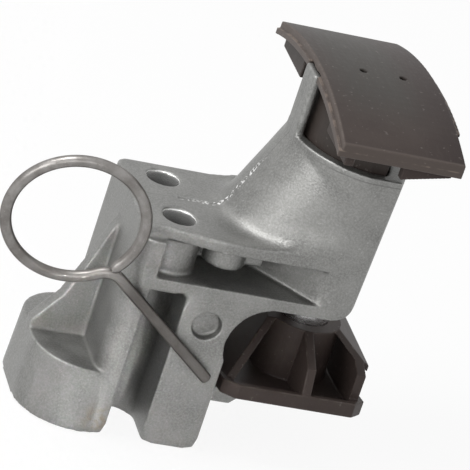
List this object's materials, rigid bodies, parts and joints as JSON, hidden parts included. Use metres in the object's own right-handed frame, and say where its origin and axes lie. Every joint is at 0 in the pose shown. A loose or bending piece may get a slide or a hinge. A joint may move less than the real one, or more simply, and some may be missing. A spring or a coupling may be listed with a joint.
{
  "type": "timing chain tensioner",
  "caption": "Hydraulic timing chain tensioner: cast body bolted through grooves, fixed curved upper shoe, sprung lower shoe on a piston, and a wire lock pin with a finger ring.",
  "frame": {"origin": "middle of the foot on the mounting face that lies against the engine", "axes": "+Z along the piston axis, away from the mounting face; +X from the foot towards the shoes; Y along the chain, with the lock pin on the -Y side"},
  "size_m": [0.0868, 0.056, 0.0822],
  "materials": {
    "cast_aluminium": "satin cast",
    "shoe_plastic": "matte with light scuffs",
    "bright_steel": "ground",
    "spring_steel": "drawn",
    "pin_wire": "drawn wire, lightly tarnished"
  },
  "bodies": {
    "base": {"housing": "cast_aluminium", "upper_shoe": "shoe_plastic", "lock_pin": "pin_wire", "piston_spring": "spring_steel", "valve_seat": "bright_steel", "valve_cage": "bright_steel", "check_ball": "bright_steel", "valve_spring": "spring_steel"},
    "plunger": {"piston": "bright_steel", "lower_shoe": "shoe_plastic"}
  },
  "joints": [
    {"name": "piston_slide", "type": "slide", "parent": "base", "child": "plunger", "axis": [0, 0, -1], "range_m": [-0.005, 0], "stiffness_N_per_m": 3000, "springref_m": 0.008, "deforming": ["piston_spring"]}
  ]
}
